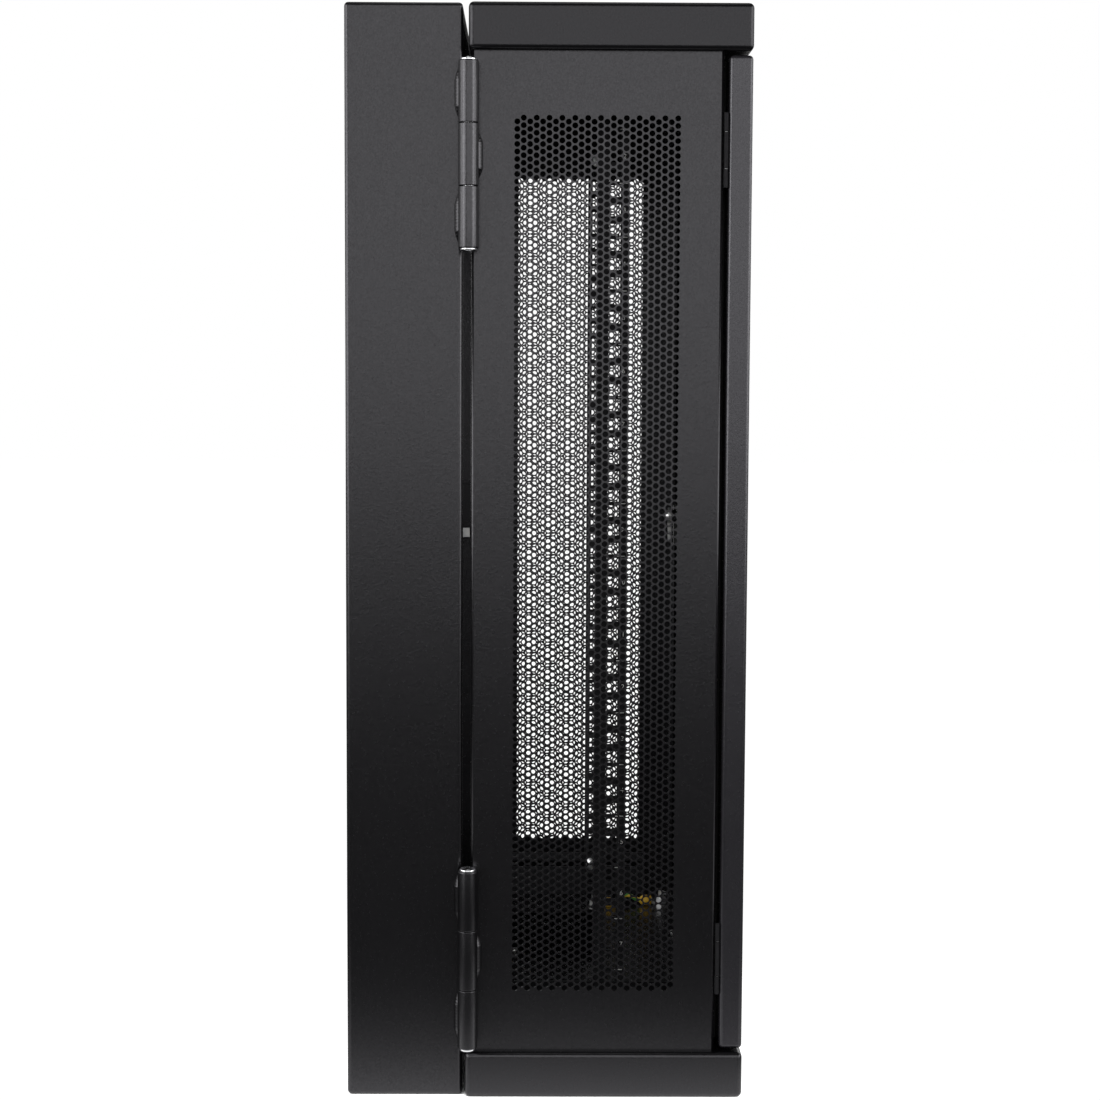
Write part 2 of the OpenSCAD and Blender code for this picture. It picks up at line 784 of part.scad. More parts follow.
module door_lock_body() { at_door_lock() lock_body(); }
module door_lock_nut() { at_door_lock() lock_nut(); }
module door_lock_plug() { at_door_lock() lock_plug(); }
module door_lock_cam() { at_door_lock() rotate([0, 0, -90]) lock_cam(); }
module door_lock_screw() { at_door_lock() lock_screw(); }

wall_frame();
upper_wall_plate();
lower_wall_plate();
wall_top_cover();
wall_bottom_cover();
wall_cover_screws();
upper_outer_knuckles();
lower_outer_knuckles();
upper_hinge_pin();
lower_hinge_pin();
wall_hinge_welds();
swing_bumpers();
swing_lock_body();
swing_lock_nut();
swing_lock_plug();
swing_lock_cam();
swing_lock_screw();
top_cap();
bottom_cap();
top_cable_cover();
bottom_cable_cover();
cable_cover_screws();
left_side_panel();
right_side_panel();
front_frame();
rear_frame();
cap_screws();
upper_middle_knuckle();
lower_middle_knuckle();
cabinet_hinge_welds();
swing_keeper();
left_rail_brackets();
right_rail_brackets();
ground_studs();
ground_nuts();
ground_lugs();
ground_lead();
upper_hinge_frame_leaf();
lower_hinge_frame_leaf();
door_hinge_pins();
left_rail();
left_rail_bolts();
left_rail_nuts();
right_rail();
right_rail_bolts();
right_rail_nuts();
door_frame();
door_mesh();
door_stiffeners();
door_gasket();
upper_hinge_door_leaf();
lower_hinge_door_leaf();
door_lock_bracket();
door_lock_body();
door_lock_nut();
door_lock_plug();
door_lock_cam();
door_lock_screw();
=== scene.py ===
"""Looks of the swing-out wall-mount rack cabinet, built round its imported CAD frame. Lengths are in metres."""

import json
import math

import bmesh
import bpy
import numpy as np
from mathutils import Matrix, Vector
from mathutils.geometry import delaunay_2d_cdt


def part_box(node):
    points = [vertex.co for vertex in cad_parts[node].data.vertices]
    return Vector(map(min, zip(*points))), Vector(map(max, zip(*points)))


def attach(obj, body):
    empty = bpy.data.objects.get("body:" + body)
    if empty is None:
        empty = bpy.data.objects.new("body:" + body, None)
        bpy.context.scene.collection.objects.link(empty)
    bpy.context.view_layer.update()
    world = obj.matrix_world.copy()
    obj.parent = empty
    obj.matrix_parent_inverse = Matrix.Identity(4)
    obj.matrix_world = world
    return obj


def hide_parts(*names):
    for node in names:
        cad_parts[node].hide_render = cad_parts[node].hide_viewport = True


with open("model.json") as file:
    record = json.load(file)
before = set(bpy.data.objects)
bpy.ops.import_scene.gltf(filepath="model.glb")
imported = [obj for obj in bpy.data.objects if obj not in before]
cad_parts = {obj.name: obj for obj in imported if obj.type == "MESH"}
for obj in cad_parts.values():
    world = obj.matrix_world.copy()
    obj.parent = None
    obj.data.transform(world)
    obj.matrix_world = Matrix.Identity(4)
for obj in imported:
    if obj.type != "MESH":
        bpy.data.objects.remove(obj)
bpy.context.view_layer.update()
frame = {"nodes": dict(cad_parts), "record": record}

MM = 0.001
NODES = frame["nodes"]
BODY_OF = {
    node: body
    for body, nodes in frame["record"]["behaviour"]["bodies"].items()
    for node in nodes
}
SLOT_OF = {row["node"]: row["material_slot"] for row in frame["record"]["subparts"]}
JOINTS = {joint["name"]: joint for joint in frame["record"]["behaviour"]["joints"]}

# ---------------------------------------------------------------- camera, floor and light

CAMERA_PLACE = (-2.0553, 0.0134, 0.6071)
CAMERA_DOWN = math.radians(4.822)
CAMERA_TURN = math.radians(-0.522)
CAMERA_ROLL = math.radians(0.26)
LENS_IN_MM = 70.520727
SENSOR_IN_MM = 36.0
FAR_CLIP = 60


def make_camera():
    """A camera that looks along +X, a little down."""
    data = bpy.data.cameras.new("camera")
    data.sensor_width = SENSOR_IN_MM
    data.lens = LENS_IN_MM
    data.clip_end = FAR_CLIP
    camera = bpy.data.objects.new("camera", data)
    level = Matrix.Rotation(math.radians(-90) + CAMERA_TURN, 4, "Z")
    level = level @ Matrix.Rotation(math.radians(90) - CAMERA_DOWN, 4, "X")
    level = level @ Matrix.Rotation(CAMERA_ROLL, 4, "Z")
    camera.matrix_world = Matrix.Translation(CAMERA_PLACE) @ level
    bpy.context.collection.objects.link(camera)
    bpy.context.scene.camera = camera


def soft_light(name, place, aim, size, glow):
    """A rectangular softbox at a place, turned to face a point. Glow is its brightness."""
    data = bpy.data.lights.new(name, "AREA")
    data.shape = "RECTANGLE"
    data.size, data.size_y = size
    data.energy = glow * math.pi * size[0] * size[1]
    lamp = bpy.data.objects.new(name, data)
    lamp.visible_camera = False
    direction = Vector(aim) - Vector(place)
    turn = direction.to_track_quat("-Z", "Y").to_matrix().to_4x4()
    lamp.matrix_world = Matrix.Translation(place) @ turn
    bpy.context.collection.objects.link(lamp)


# Each softbox: its name, place, the point it faces, its width and height, and its brightness
SOFTBOXES = (
    ("key", (-2.95, -0.55, 1.44), (0, -0.55, 1.44), (3.4, 2.3), 1.75),
    ("front", (-0.8, -3.0, 1.45), (0, 0, 1.0), (3.0, 2.2), 3.0),
    ("back", (-0.9, 3.0, 1.45), (0, 0, 1.0), (3.0, 2.2), 3.0),
    ("far_rear", (3.0, 1.7, 1.45), (0, 0.2, 1.0), (2.4, 2.2), 1.3),
    ("far_front", (3.0, -1.8, 1.45), (0, -0.1, 1.0), (2.4, 2.2), 1.3),
    ("overhead", (0, 0, 3.0), (0, 0, 0), (1.5, 1.2), 1.0),
    ("wall_edge", (-2.4, 2.3, 1.25), (-0.29, 0.16, 1.25), (1.7, 2.4), 3.6),
    ("door_edge", (-2.3, -2.7, 1.2), (-0.29, -0.16, 1.2), (1.3, 2.4), 2.8),
)


def make_lights():
    """A wide softbox off the left side, one at the front and one at the back, two off the right
    side, one overhead, and one each that catches the wall frame's and the door's left edges."""
    for softbox in SOFTBOXES:
        soft_light(*softbox)


def make_world():
    """Dim white light from all round, which the camera sees as plain white past the floor."""
    world = bpy.data.worlds.new("studio")
    bpy.context.scene.world = world
    world.use_nodes = True
    tree = world.node_tree
    background = tree.nodes["Background"]
    background.inputs["Color"].default_value = (1, 1, 1, 1)
    light_path = tree.nodes.new("ShaderNodeLightPath")
    strength = tree.nodes.new("ShaderNodeMapRange")
    strength.inputs["To Min"].default_value = 0.05
    strength.inputs["To Max"].default_value = 1.0
    tree.links.new(light_path.outputs["Is Camera Ray"], strength.inputs["Value"])
    tree.links.new(strength.outputs["Result"], background.inputs["Strength"])


# ---------------------------------------------------------------- materials


def new_material(name):
    """An empty node material and its Principled node."""
    material = bpy.data.materials.new(name)
    material.use_nodes = True
    return material, material.node_tree, material.node_tree.nodes["Principled BSDF"]


def add(tree, kind, **values):
    """A new shader node with its input sockets set."""
    node = tree.nodes.new(kind)
    for key, value in values.items():
        node.inputs[key.replace("_", " ")].default_value = value
    return node


def noise(tree, scale, detail=4.0, roughness=0.55):
    """A noise texture in object coordinates. Its scale is in features per metre."""
    place = tree.nodes.new("ShaderNodeTexCoord")
    texture = add(tree, "ShaderNodeTexNoise", Scale=scale, Detail=detail, Roughness=roughness)
    tree.links.new(place.outputs["Object"], texture.inputs["Vector"])
    return texture


def ramp(tree, source, low, high, stops=(0.3, 0.7)):
    """Maps a 0 to 1 value onto two colours."""
    node = tree.nodes.new("ShaderNodeValToRGB")
    first, last = node.color_ramp.elements
    first.position, last.position = stops
    first.color = (*low, 1)
    last.color = (*high, 1)
    tree.links.new(source, node.inputs["Fac"])
    return node


def spread(tree, source, low, high):
    """Maps a 0 to 1 value onto a range of numbers."""
    node = add(tree, "ShaderNodeMapRange", To_Min=low, To_Max=high)
    tree.links.new(source, node.inputs["Value"])
    return node


def bump(tree, source, shader, depth, strength=1.0, after=None):
    """Bumps a shader by a height map. Depth is the height's full range."""
    node = add(tree, "ShaderNodeBump", Strength=strength, Distance=depth)
    tree.links.new(source, node.inputs["Height"])
    if after:
        tree.links.new(after.outputs["Normal"], node.inputs["Normal"])
    tree.links.new(node.outputs["Normal"], shader.inputs["Normal"])
    return node


def tint(tree, shader, source, low, high):
    """Varies the base colour between two colours by a 0 to 1 value."""
    tone = ramp(tree, source, low, high)
    tree.links.new(tone.outputs["Color"], shader.inputs["Base Color"])


def vary(tree, shader, socket, source, low, high):
    """Varies one of the shader's numbers between two values by a 0 to 1 value."""
    amount = spread(tree, source, low, high)
    tree.links.new(amount.outputs["Result"], shader.inputs[socket])


COAT_LOW = (0.0018, 0.0017, 0.0020)
COAT_HIGH = (0.0028, 0.0027, 0.0031)
COAT_TINT = (1.0, 0.985, 1.04, 1)


def powder_coat(name, dull, glossy, level=0.5, lift=1.0):
    """Fine-texture black powder coat: a tight grain over a slower orange peel. Dull and glossy are
    its roughnesses, level is how strongly it reflects, and lift pales its tone."""
    material, tree, shader = new_material(name)
    blotch = noise(tree, 9, 4)
    grain = noise(tree, 1400, 2, 0.6)
    peel = noise(tree, 420, 3, 0.6)
    speckle = noise(tree, 850, 2, 0.6)
    low = [lift * value for value in COAT_LOW]
    high = [lift * value for value in COAT_HIGH]
    tint(tree, shader, blotch.outputs["Fac"], low, high)
    vary(tree, shader, "Roughness", peel.outputs["Fac"], glossy, dull)
    vary(tree, shader, "Specular IOR Level", speckle.outputs["Fac"], level * 0.55, level * 1.45)
    shader.inputs["Specular Tint"].default_value = COAT_TINT
    first = bump(tree, peel.outputs["Fac"], shader, 0.00014, 0.6)
    bump(tree, grain.outputs["Fac"], shader, 0.00007, 0.9, after=first)
    return material


def zinc_plate():
    """Bright zinc with drawn streaks and faint cloudy passivation."""
    material, tree, shader = new_material("bright_zinc")
    cloud = noise(tree, 90, 5)
    scratch = noise(tree, 2600, 3, 0.7)
    tint(tree, shader, cloud.outputs["Fac"], (0.50, 0.51, 0.53), (0.66, 0.65, 0.62))
    vary(tree, shader, "Roughness", cloud.outputs["Fac"], 0.24, 0.42)
    shader.inputs["Metallic"].default_value = 1.0
    bump(tree, scratch.outputs["Fac"], shader, 0.00002, 0.4)
    return material


def chrome_plate():
    """Polished chrome with hairline wear."""
    material, tree, shader = new_material("bright_chrome")
    haze = noise(tree, 500, 6, 0.7)
    tint(tree, shader, haze.outputs["Fac"], (0.72, 0.73, 0.75), (0.80, 0.80, 0.81))
    vary(tree, shader, "Roughness", haze.outputs["Fac"], 0.08, 0.20)
    shader.inputs["Metallic"].default_value = 1.0
    bump(tree, haze.outputs["Fac"], shader, 0.00001, 0.3)
    return material


def black_rubber():
    """Matte cellular rubber with fine pores."""
    material, tree, shader = new_material("black_cell_rubber")
    pores = noise(tree, 1800, 4, 0.7)
    tint(tree, shader, pores.outputs["Fac"], (0.010, 0.010, 0.010), (0.028, 0.028, 0.027))
    vary(tree, shader, "Roughness", pores.outputs["Fac"], 0.75, 0.95)
    bump(tree, pores.outputs["Fac"], shader, 0.0001, 0.7)
    return material


def plain_plastic(name, low, high, roughness):
    """Moulded or extruded plastic, with slight changes of tone and roughness."""
    material, tree, shader = new_material(name)
    drift = noise(tree, 220, 4)
    tint(tree, shader, drift.outputs["Fac"], low, high)
    vary(tree, shader, "Roughness", drift.outputs["Fac"], roughness - 0.06, roughness + 0.08)
    bump(tree, drift.outputs["Fac"], shader, 0.00003, 0.5)
    return material


def print_ink():
    """White screen-printed ink, thin in places."""
    material, tree, shader = new_material("white_print")
    wear = noise(tree, 2400, 4, 0.7)
    tint(tree, shader, wear.outputs["Fac"], (0.55, 0.55, 0.54), (0.86, 0.86, 0.84))
    shader.inputs["Roughness"].default_value = 0.6
    return material


def math_node(tree, operation, first, second):
    """A Math node. Each input is a socket or a number."""
    node = tree.nodes.new("ShaderNodeMath")
    node.operation = operation
    for socket, value in zip(node.inputs, (first, second)):
        if isinstance(value, (int, float)):
            socket.default_value = value
        else:
            tree.links.new(value, socket)
    return node.outputs[0]


FOOT_HALF_X = 0.29
FOOT_HALF_Y = 0.16
GLOW_REACH = 0.38
GLOW_FALLOFF = 2.4
GLOW_STRENGTH = 1.5
# Painted contact shadow on the floor: how far ambient occlusion looks, and the occlusion at which the shadow is
# full and at which it is gone
SHELTER_REACH = 0.25
SHELTERED, OPEN = 0.15, 0.35


def base_glow(tree):
    """The strength of the floor's own light, full round the cabinet's base and gone at its reach."""
    place = tree.nodes.new("ShaderNodeTexCoord")
    axes = tree.nodes.new("ShaderNodeSeparateXYZ")
    tree.links.new(place.outputs["Object"], axes.inputs[0])
    across = math_node(tree, "SUBTRACT", math_node(tree, "ABSOLUTE", axes.outputs["X"], 0), FOOT_HALF_X)
    along = math_node(tree, "SUBTRACT", math_node(tree, "ABSOLUTE", axes.outputs["Y"], 0), FOOT_HALF_Y)
    away = math_node(tree, "MAXIMUM", across, along)
    near = add(tree, "ShaderNodeMapRange", From_Max=GLOW_REACH, To_Min=1.0, To_Max=0.0)
    tree.links.new(away, near.inputs["Value"])
    faded = math_node(tree, "POWER", near.outputs["Result"], GLOW_FALLOFF)
    return math_node(tree, "MULTIPLY", faded, GLOW_STRENGTH)


def painted_contact_shadow(tree):
    """Painted contact shadow for the floor's own light: 1 where the floor lies open, falling to 0 where
    something stands right over it, by ambient occlusion.
    """
    shelter = add(tree, "ShaderNodeAmbientOcclusion", Distance=SHELTER_REACH)
    shelter.samples = 8
    sky = add(tree, "ShaderNodeMapRange", From_Min=SHELTERED, From_Max=OPEN)
    tree.links.new(shelter.outputs["AO"], sky.inputs["Value"])
    return sky.outputs["Result"]


def floor_paint():
    """Studio floor that the camera sees as white, with a painted shadow where something stands right over it.
    It is dark to the object, apart from a glow that lights the foot of the cabinet."""
    material, tree, shader = new_material("studio_floor")
    drift = noise(tree, 1.5, 3)
    tint(tree, shader, drift.outputs["Fac"], (0.035, 0.035, 0.035), (0.050, 0.050, 0.050))
    shader.inputs["Roughness"].default_value = 0.8
    shader.inputs["Specular IOR Level"].default_value = 0.2
    shader.inputs["Emission Color"].default_value = (1, 1, 1, 1)
    light_path = tree.nodes.new("ShaderNodeLightPath")
    shine = math_node(tree, "MAXIMUM", light_path.outputs["Is Camera Ray"], base_glow(tree))
    # Painted shadow: the floor's white and its glow fade by ambient occlusion where something stands over the
    # floor
    shine = math_node(tree, "MULTIPLY", shine, painted_contact_shadow(tree))
    tree.links.new(shine, shader.inputs["Emission Strength"])
    return material


POWDER = powder_coat("black_powder_coat", 0.31, 0.20)
SATIN_POWDER = powder_coat("satin_powder_coat", 0.28, 0.19, 0.58)
DOOR_POWDER = powder_coat("door_powder_coat", 0.31, 0.20, 0.55, 6.0)
CAP_POWDER = powder_coat("cap_powder_coat", 0.31, 0.20, 0.35)
DULL_POWDER = powder_coat("dull_powder_coat", 0.75, 0.60, 0.25)
ZINC = zinc_plate()
CHROME = chrome_plate()
RUBBER = black_rubber()
GREEN_PVC = plain_plastic("green_insulation", (0.05, 0.20, 0.04), (0.07, 0.26, 0.05), 0.42)
YELLOW_PVC = plain_plastic("yellow_insulation", (0.62, 0.42, 0.03), (0.75, 0.52, 0.05), 0.42)
SLEEVE = plain_plastic("yellow_sleeve", (0.50, 0.30, 0.02), (0.62, 0.38, 0.03), 0.35)
INK = print_ink()
FINISH = {
    "black_powder": POWDER,
    "zinc_steel": ZINC,
    "chrome": CHROME,
    "black_rubber": RUBBER,
    "earth_lead": GREEN_PVC,
}

# ---------------------------------------------------------------- mesh building


def shade(mesh, angle=35, flats=False):
    """Smooth shading, with edges over this many degrees kept sharp. With flats, the faces square
    to an axis stay flat, so that a fold doesn't shade into the sheet beside it."""
    mesh.set_sharp_from_angle(angle=math.radians(angle))
    smooth = [not flats or max(map(abs, face.normal)) < 0.99999 for face in mesh.polygons]
    mesh.polygons.foreach_set("use_smooth", smooth)


def make_piece(name, points, faces, node, materials=None, indices=None, flats=False):
    """A mesh object that rides with a CAD node's body, and takes its finish if given no other."""
    mesh = bpy.data.meshes.new(name)
    mesh.from_pydata([tuple(p) for p in points], [], [tuple(f) for f in faces])
    mesh.update()
    for material in materials or [FINISH[SLOT_OF[node]]]:
        mesh.materials.append(material)
    if indices is not None:
        mesh.polygons.foreach_set("material_index", indices)
    piece = bpy.data.objects.new(name, mesh)
    bpy.context.collection.objects.link(piece)
    shade(mesh, flats=flats)
    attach(piece, BODY_OF[node])
    return piece


def weld(points, faces, gap=1e-6):
    """Joins points that lie within a gap and drops faces that collapse."""
    points = np.asarray(points, float)
    keys = np.round(points / gap).astype(np.int64)
    _, first, back = np.unique(keys, axis=0, return_index=True, return_inverse=True)
    back = back.ravel()
    joined = []
    for face in faces:
        ring = [int(back[i]) for i in face]
        ring = [a for a, b in zip(ring, ring[1:] + ring[:1]) if a != b]
        if len(ring) >= 3:
            joined.append(ring)
    return points[first], joined


def flat_faces(outline, holes):
    """Triangles of a flat outline less its holes: the points used and triples of their indices."""
    loops, points = [], []
    for loop in [outline, *holes]:
        loops.append(list(range(len(points), len(points) + len(loop))))
        points += [Vector(p) for p in loop]
    edges = [pair for loop in loops for pair in zip(loop, loop[1:] + loop[:1])]
    verts, _, faces, _, _, inside = delaunay_2d_cdt(points, edges, loops, 1, 1e-9)
    kept = [face for face, owners in zip(faces, inside) if owners and max(owners) == 0]
    return [tuple(v) for v in verts], kept


def rectangle(low, high):
    """Corners of a rectangle, anticlockwise."""
    return [(low[0], low[1]), (high[0], low[1]), (high[0], high[1]), (low[0], high[1])]


def round_rectangle(low, high, radius, steps=5):
    """Outline of a rectangle with round corners, anticlockwise."""
    corners = (
        (high[0] - radius, high[1] - radius),
        (low[0] + radius, high[1] - radius),
        (low[0] + radius, low[1] + radius),
        (high[0] - radius, low[1] + radius),
    )
    outline = []
    for quarter, (x, y) in enumerate(corners):
        for step in range(steps + 1):
            angle = math.pi / 2 * (quarter + step / steps)
            outline.append((x + radius * math.cos(angle), y + radius * math.sin(angle)))
    return outline


def polygon_at(centre, radius, sides, turn=0.0):
    """A regular polygon, anticlockwise. Turn is the first corner's angle in degrees."""
    angles = [math.radians(turn) + 2 * math.pi * k / sides for k in range(sides)]
    return [(centre[0] + radius * math.cos(a), centre[1] + radius * math.sin(a)) for a in angles]


def thicken(piece, thickness):
    """Gives a skin its sheet thickness on its inner side."""
    solid = piece.modifiers.new("sheet", "SOLIDIFY")
    solid.thickness = thickness
    solid.offset = -1
    solid.use_even_offset = True
    return piece


def ring_faces(rows, ring):
    """Four-cornered faces between neighbouring rings of points, for a number of rows of faces."""
    faces = []
    for row in range(rows):
        start = row * ring
        for k in range(ring):
            after = (k + 1) % ring
            faces.append((start + k, start + after, start + ring + after, start + ring + k))
    return faces


def soften(piece, width, segments=2):
    """Rounds a piece's sharp edges by a small radius."""
    edge = piece.modifiers.new("ease", "BEVEL")
    edge.width = width
    edge.segments = segments
    edge.limit_method = "ANGLE"
    edge.angle_limit = math.radians(40)
    edge.use_clamp_overlap = True
    edge.harden_normals = True


FACE_AXES = {"-x": 0, "+x": 0, "-y": 1, "+y": 1, "-z": 2, "+z": 2}


def skin_box(name, node, low, high, radius, thickness, cuts, segments=4, finish=None):
    """A box of bent sheet with round edges. Cuts maps a face, such as +y, to its holes' outlines,
    each in the two axes that lie in that face, in X, Y, Z order."""
    bm = bmesh.new()
    bmesh.ops.create_cube(bm, size=1)
    low, high = Vector(low), Vector(high)
    for vert in bm.verts:
        for axis in range(3):
            vert.co[axis] = high[axis] if vert.co[axis] > 0 else low[axis]
    edges = list(bm.edges)
    bmesh.ops.bevel(bm, geom=edges, offset=radius, segments=segments, profile=0.5, affect="EDGES")
    points = [vert.co.copy() for vert in bm.verts]
    bm.verts.index_update()
    faces = []
    for face in bm.faces:
        side = None
        for key, axis in FACE_AXES.items():
            plane = high[axis] if key[0] == "+" else low[axis]
            if all(abs(vert.co[axis] - plane) < 1e-7 for vert in face.verts):
                side = key
        if side in cuts:
            axis = FACE_AXES[side]
            across, up = [a for a in range(3) if a != axis]
            plane = face.verts[0].co[axis]
            corners = [(vert.co[across], vert.co[up]) for vert in face.verts]
            centre = np.mean(corners, axis=0)
            corners.sort(key=lambda c: math.atan2(c[1] - centre[1], c[0] - centre[0]))
            flat, triangles = flat_faces(corners, cuts[side])
            start = len(points)
            for a, b in flat:
                point = [0.0, 0.0, 0.0]
                point[axis], point[across], point[up] = plane, a, b
                points.append(point)
            outward = (side[0] == "+") == (axis != 1)
            for triangle in triangles:
                ring = [start + i for i in triangle]
                faces.append(ring if outward else ring[::-1])
        else:
            faces.append([vert.index for vert in face.verts])
    bm.free()
    points, faces = weld(points, faces)
    piece = make_piece(name, points, faces, node, [finish or FINISH[SLOT_OF[node]]], flats=True)
    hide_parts(node)
    return thicken(piece, thickness)


def folded_sheet(name, node, profile, radius, low, high, thickness, cuts, steps=5):
    """A sheet folded along vertical lines. Profile is the plan of its outer face, walked with the
    outside on the right. Cuts maps a stretch's index to its holes' outlines, in distance along
    the stretch from its first corner and height."""
    profile = [Vector(p) for p in profile]
    points, faces = [], []

    def strip(a, b, holes=()):
        run = (b - a).length
        direction = (b - a) / run
        flat, triangles = flat_faces(rectangle((0, low), (run, high)), holes)
        start = len(points)
        points.extend((*(a + direction * s), z) for s, z in flat)
        faces.extend([start + i for i in triangle] for triangle in triangles)

    last = len(profile) - 2
    for i in range(last + 1):
        a, b = profile[i], profile[i + 1]
        direction = (b - a).normalized()
        begin = a if i == 0 else a + direction * radius
        end = b if i == last else b - direction * radius
        shift = (begin - a).length
        holes = [[(s - shift, z) for s, z in loop] for loop in cuts.get(i, ())]
        strip(begin, end, holes)
        if i < last:
            onward = (profile[i + 2] - b).normalized()
            centre = end + onward * radius
            bend = []
            for k in range(steps + 1):
                t = math.pi / 2 * k / steps
                bend.append(centre - onward * radius * math.cos(t) + direction * radius * math.sin(t))
            for bend_start, bend_end in zip(bend, bend[1:]):
                strip(bend_start, bend_end)
    points, faces = weld(points, faces)
    piece = make_piece(name, points, faces, node, flats=True)
    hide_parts(node)
    return thicken(piece, thickness)


def flat_sheet(name, node, outline, holes, plane, thickness):
    """A flat sheet in the XZ plane that starts at y = plane and runs rearwards by its thickness."""
    flat, triangles = flat_faces(outline, holes)
    points = [(x, plane, z) for x, z in flat]
    piece = make_piece(name, points, triangles, node, flats=True)
    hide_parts(node)
    return thicken(piece, thickness)


def lathe(profile, axis_place, sides=48):
    """Points and faces of a profile of (radius, height) pairs turned round a vertical axis."""
    points = []
    x, y = axis_place
    for radius, z in profile:
        for k in range(sides):
            angle = 2 * math.pi * k / sides
            points.append((x + radius * math.cos(angle), y + radius * math.sin(angle), z))
    return weld(points, ring_faces(len(profile) - 1, sides))


def joined(parts):
    """Several (points, faces) pairs as one."""
    points, faces = [], []
    for some_points, some_faces in parts:
        start = len(points)
        points += [tuple(p) for p in some_points]
        faces += [[start + i for i in face] for face in some_faces]
    return points, faces


def eased(node, width, segments=2, finish=None):
    """A copy of a CAD node with its flat faces cleaned and its sharp edges rounded."""
    bm = bmesh.new()
    bm.from_mesh(NODES[node].data)
    bmesh.ops.remove_doubles(bm, verts=bm.verts, dist=2e-6)
    bmesh.ops.dissolve_limit(bm, angle_limit=math.radians(0.5), verts=bm.verts, edges=bm.edges)
    mesh = bpy.data.meshes.new(node + "_eased")
    bm.to_mesh(mesh)
    bm.free()
    mesh.materials.append(finish or FINISH[SLOT_OF[node]])
    piece = bpy.data.objects.new(node + "_eased", mesh)
    bpy.context.collection.objects.link(piece)
    shade(mesh)
    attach(piece, BODY_OF[node])
    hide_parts(node)
    soften(piece, width, segments)
    return piece


# ---------------------------------------------------------------- perforation

VENT_PITCH = 6.0 * MM
VENT_RADIUS = 2.43 * MM
VENT_COLUMNS = 26
VENT_ROWS = 120
VENT_SIDES = 12
MESH_PITCH = 8.0 * MM
MESH_WEB = 1.8 * MM
MESH_SHEET = 1.2 * MM
PANEL_SHEET = 1.2 * MM
PANEL_BEND = 2.2 * MM


def vent_holes(middle):
    """Outlines of a side panel's staggered round holes, about a middle point."""
    step = VENT_PITCH * math.sqrt(3) / 2
    holes = []
    for column in range(VENT_COLUMNS):
        across = middle[0] + (column - (VENT_COLUMNS - 1) / 2) * step
        shift = 0.25 if column % 2 else -0.25
        for row in range(VENT_ROWS):
            up = middle[1] + (row - (VENT_ROWS - 1) / 2 + shift) * VENT_PITCH
            holes.append(polygon_at((across, up), VENT_RADIUS, VENT_SIDES, 180 / VENT_SIDES))
    return holes


def mesh_holes(low, high):
    """Outlines of the door's hexagonal holes, in staggered columns about a rectangle's middle."""
    radius = (MESH_PITCH - MESH_WEB) / math.sqrt(3)
    step = MESH_PITCH * math.sqrt(3) / 2
    middle = ((low[0] + high[0]) / 2, (low[1] + high[1]) / 2)
    columns = int((high[0] - low[0]) / 2 / step)
    rows = int((high[1] - low[1]) / 2 / MESH_PITCH)
    holes = []
    for column in range(-columns, columns + 1):
        odd = column % 2
        for row in range(-rows, rows + 1 - odd):
            centre = (middle[0] + column * step, middle[1] + (row + odd / 2) * MESH_PITCH)
            if abs(centre[1] - middle[1]) < (high[1] - low[1]) / 2 - radius:
                holes.append(polygon_at(centre, radius, 6))
    return holes


def side_panels():
    """Both perforated side panels, each with a flange folded inwards at the front and the rear."""
    for node, side in (("left_side_panel", -1), ("right_side_panel", 1)):
        low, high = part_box(node)
        out_x = low.x if side < 0 else high.x
        in_x = high.x if side < 0 else low.x
        holes = vent_holes(((high.y - low.y) / 2, (low.z + high.z) / 2))
        profile = [(in_x, high.y), (out_x, high.y), (out_x, low.y), (in_x, low.y)]
        if side > 0:
            profile.reverse()
        cuts = {1: holes}
        folded_sheet(node + "_sheet", node, profile, PANEL_BEND, low.z, high.z, PANEL_SHEET, cuts)


# ---------------------------------------------------------------- boxes of bent sheet

SHEET = 1.5 * MM
CAP_BEND = 4.2 * MM
WALL_BEND = 3.4 * MM
DOOR_BEND = 3.2 * MM
WALL_FLANGE = 15 * MM
DOOR_FLANGE = 35 * MM
COOLING_SLOTS = 16
COOLING_STEP = 12 * MM
COOLING_FIRST = 40 * MM
COOLING_Y = -84 * MM
COOLING_SIZE = (4 * MM, 62 * MM)
CAP_WINDOW = ((-180 * MM, -60 * MM), (180 * MM, 36 * MM))
SWING_LOCK_HOLE = 9.5 * MM
DOOR_LOCK_HOLE = 13.1 * MM
MESH_LAP = 8 * MM
MESH_MARGIN = 3 * MM


def slot_outline(x, y, width, length):
    """A long slot with round ends, running along the second axis."""
    low = (x - width / 2, y - length / 2)
    high = (x + width / 2, y + length / 2)
    return round_rectangle(low, high, width / 2 * 0.98, 4)


def caps():
    """Top and bottom caps, with round edges, cable entries and the top's cooling slots."""
    for node, outer, inner in (("top_cap", "+z", "-z"), ("bottom_cap", "-z", "+z")):
        low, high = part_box(node)
        cover_low, cover_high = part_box(node.replace("_cap", "_cable_cover"))
        margin = Vector((12 * MM, 8 * MM, 0))
        entry_low, entry_high = cover_low + margin, cover_high - margin
        holes = [round_rectangle(entry_low[:2], entry_high[:2], 4 * MM)]
        if node == "top_cap":
            for side in (-1, 1):
                for i in range(COOLING_SLOTS):
                    x = side * (COOLING_FIRST + COOLING_STEP * i)
                    holes.append(slot_outline(x, COOLING_Y, *COOLING_SIZE))
        window = round_rectangle(*CAP_WINDOW, 6 * MM)
        finish = CAP_POWDER if node == "top_cap" else None
        cuts = {outer: holes, inner: [window]}
        skin_box(node + "_shell", node, low, high, CAP_BEND, SHEET, cuts, finish=finish)


